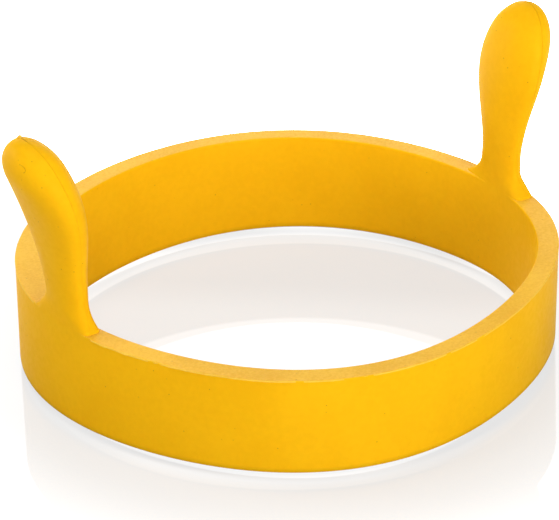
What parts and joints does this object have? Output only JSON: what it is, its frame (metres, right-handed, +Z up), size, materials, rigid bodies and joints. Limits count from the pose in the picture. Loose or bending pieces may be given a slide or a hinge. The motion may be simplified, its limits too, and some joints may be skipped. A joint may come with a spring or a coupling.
{
  "type": "egg ring",
  "caption": "Round silicone ring that keeps a frying egg in shape, a low drafted band with upright ear-shaped handles for lifting it out of the pan.",
  "frame": {"origin": "centre of the ring, on the flat bottom that rests on the pan", "axes": "+X through the right handle, +Y across the handles, +Z up"},
  "size_m": [0.1126, 0.1, 0.0551],
  "materials": {
    "yellow_silicone": "satin moulded silicone rubber, warm yellow, paler and grainier on the top of the rim"
  },
  "bodies": {
    "root": {"ring_band": "yellow_silicone", "left_handle": "yellow_silicone", "right_handle": "yellow_silicone"}
  },
  "joints": []
}
